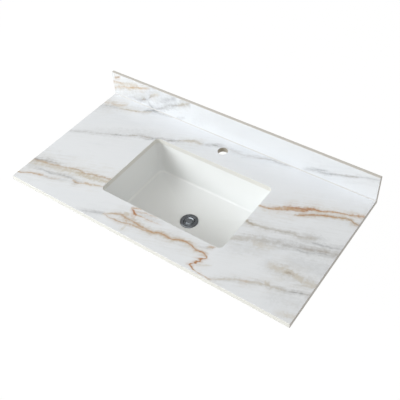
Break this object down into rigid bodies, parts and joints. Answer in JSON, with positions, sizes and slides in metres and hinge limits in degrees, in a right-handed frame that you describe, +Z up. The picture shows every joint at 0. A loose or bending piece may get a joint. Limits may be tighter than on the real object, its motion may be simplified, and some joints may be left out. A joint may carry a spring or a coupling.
{
  "type": "vanity sink top",
  "caption": "Marble-look vanity top with a backsplash, an undermount rectangular china basin, one faucet hole and a push-to-open drain.",
  "frame": {"origin": "on the slab's underside, in the middle of its length and of the strip that rests on the cabinet's rear rail", "axes": "+X along the slab to the right, +Y to the wall, +Z up"},
  "size_m": [1.0922, 0.5588, 0.4391],
  "materials": {
    "marble_slab": "polished white sheet with grey and gold veins",
    "white_china": "glossy glaze",
    "silicone": "pale satin sealant",
    "dark_chrome": "dark polished plate",
    "black_rubber": "matt",
    "nylon": "moulded",
    "brass": "machined",
    "steel": "zinc plated"
  },
  "bodies": {
    "top": {"backsplash": "marble_slab", "backsplash_seal": "silicone", "bowl_clip_1": "steel", "bowl_clip_2": "steel", "bowl_clip_3": "steel", "bowl_clip_4": "steel", "bowl_seal": "silicone", "cartridge_sleeve": "nylon", "cartridge_spring": "steel", "clip_stud_1": "steel", "clip_stud_2": "steel", "clip_stud_3": "steel", "clip_stud_4": "steel", "clip_washer_1": "steel", "clip_washer_2": "steel", "clip_washer_3": "steel", "clip_washer_4": "steel", "clip_wing_nut_1": "steel", "clip_wing_nut_2": "steel", "clip_wing_nut_3": "steel", "clip_wing_nut_4": "steel", "drain_body": "dark_chrome", "flange_gasket": "black_rubber", "friction_washer": "nylon", "lock_nut": "brass", "sink_bowl": "white_china", "stone_top": "marble_slab", "stud_anchor_1": "brass", "stud_anchor_2": "brass", "stud_anchor_3": "brass", "stud_anchor_4": "brass", "tailpiece": "dark_chrome", "tailpiece_washer": "black_rubber", "tapered_gasket": "black_rubber"},
    "stopper": {"stopper_cap": "dark_chrome", "stopper_seal": "black_rubber", "stopper_post": "brass"}
  },
  "joints": [
    {"name": "stopper_lift", "type": "slide", "parent": "top", "child": "stopper", "axis": [0, 0, 1], "range_m": [0, 0.009], "deforming": ["cartridge_spring"]}
  ]
}
